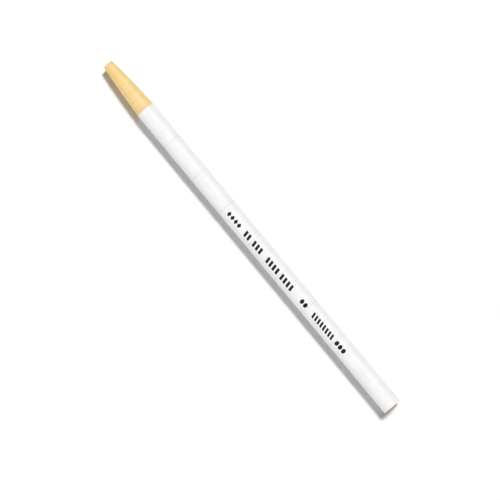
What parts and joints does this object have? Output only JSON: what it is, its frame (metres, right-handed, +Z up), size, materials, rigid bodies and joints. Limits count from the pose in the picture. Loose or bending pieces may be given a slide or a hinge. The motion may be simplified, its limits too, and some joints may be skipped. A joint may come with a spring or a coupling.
{
  "type": "china marker",
  "caption": "Slim round china marker: a wax core in a wound kraft paper wrapper ground to a tan point, with a white cover that tears away in short sections.",
  "frame": {"origin": "middle of the marker's length, on the surface it lies on", "axes": "+X along the barrel from the point to the tail, +Z up from the surface it lies on"},
  "size_m": [0.1724, 0.0078, 0.0079],
  "materials": {
    "wax": "waxy",
    "string": "twisted cotton",
    "kraft": "ground matt paper",
    "cover": "smooth coated paper"
  },
  "bodies": {
    "core": {"wax_core": "wax", "pull_string": "string"},
    "point": {"point_wrap": "kraft"},
    "section_01": {"wrap_roll_01": "kraft", "cover_band_01": "cover"},
    "section_02": {"wrap_roll_02": "kraft", "cover_band_02": "cover"},
    "section_03": {"wrap_roll_03": "kraft", "cover_band_03": "cover"},
    "section_04": {"wrap_roll_04": "kraft", "cover_band_04": "cover"},
    "section_05": {"wrap_roll_05": "kraft", "cover_band_05": "cover"},
    "section_06": {"wrap_roll_06": "kraft", "cover_band_06": "cover"},
    "section_07": {"wrap_roll_07": "kraft", "cover_band_07": "cover"},
    "section_08": {"wrap_roll_08": "kraft", "cover_band_08": "cover"},
    "section_09": {"wrap_roll_09": "kraft", "cover_band_09": "cover"}
  },
  "joints": [
    {"name": "peel_09", "type": "slide", "parent": "core", "child": "section_09", "axis": [-1, 0, 0], "range_m": [0, 0.175]},
    {"name": "peel_08", "type": "slide", "parent": "section_09", "child": "section_08", "axis": [-1, 0, 0], "range_m": [0, 0.1584]},
    {"name": "peel_07", "type": "slide", "parent": "section_08", "child": "section_07", "axis": [-1, 0, 0], "range_m": [0, 0.1418]},
    {"name": "peel_06", "type": "slide", "parent": "section_07", "child": "section_06", "axis": [-1, 0, 0], "range_m": [0, 0.1252]},
    {"name": "peel_05", "type": "slide", "parent": "section_06", "child": "section_05", "axis": [-1, 0, 0], "range_m": [0, 0.1086]},
    {"name": "peel_04", "type": "slide", "parent": "section_05", "child": "section_04", "axis": [-1, 0, 0], "range_m": [0, 0.092]},
    {"name": "peel_03", "type": "slide", "parent": "section_04", "child": "section_03", "axis": [-1, 0, 0], "range_m": [0, 0.0754]},
    {"name": "peel_02", "type": "slide", "parent": "section_03", "child": "section_02", "axis": [-1, 0, 0], "range_m": [0, 0.0588]},
    {"name": "peel_01", "type": "slide", "parent": "section_02", "child": "section_01", "axis": [-1, 0, 0], "range_m": [0, 0.0422]},
    {"name": "peel_point", "type": "slide", "parent": "section_01", "child": "point", "axis": [-1, 0, 0], "range_m": [0, 0.0256]}
  ]
}
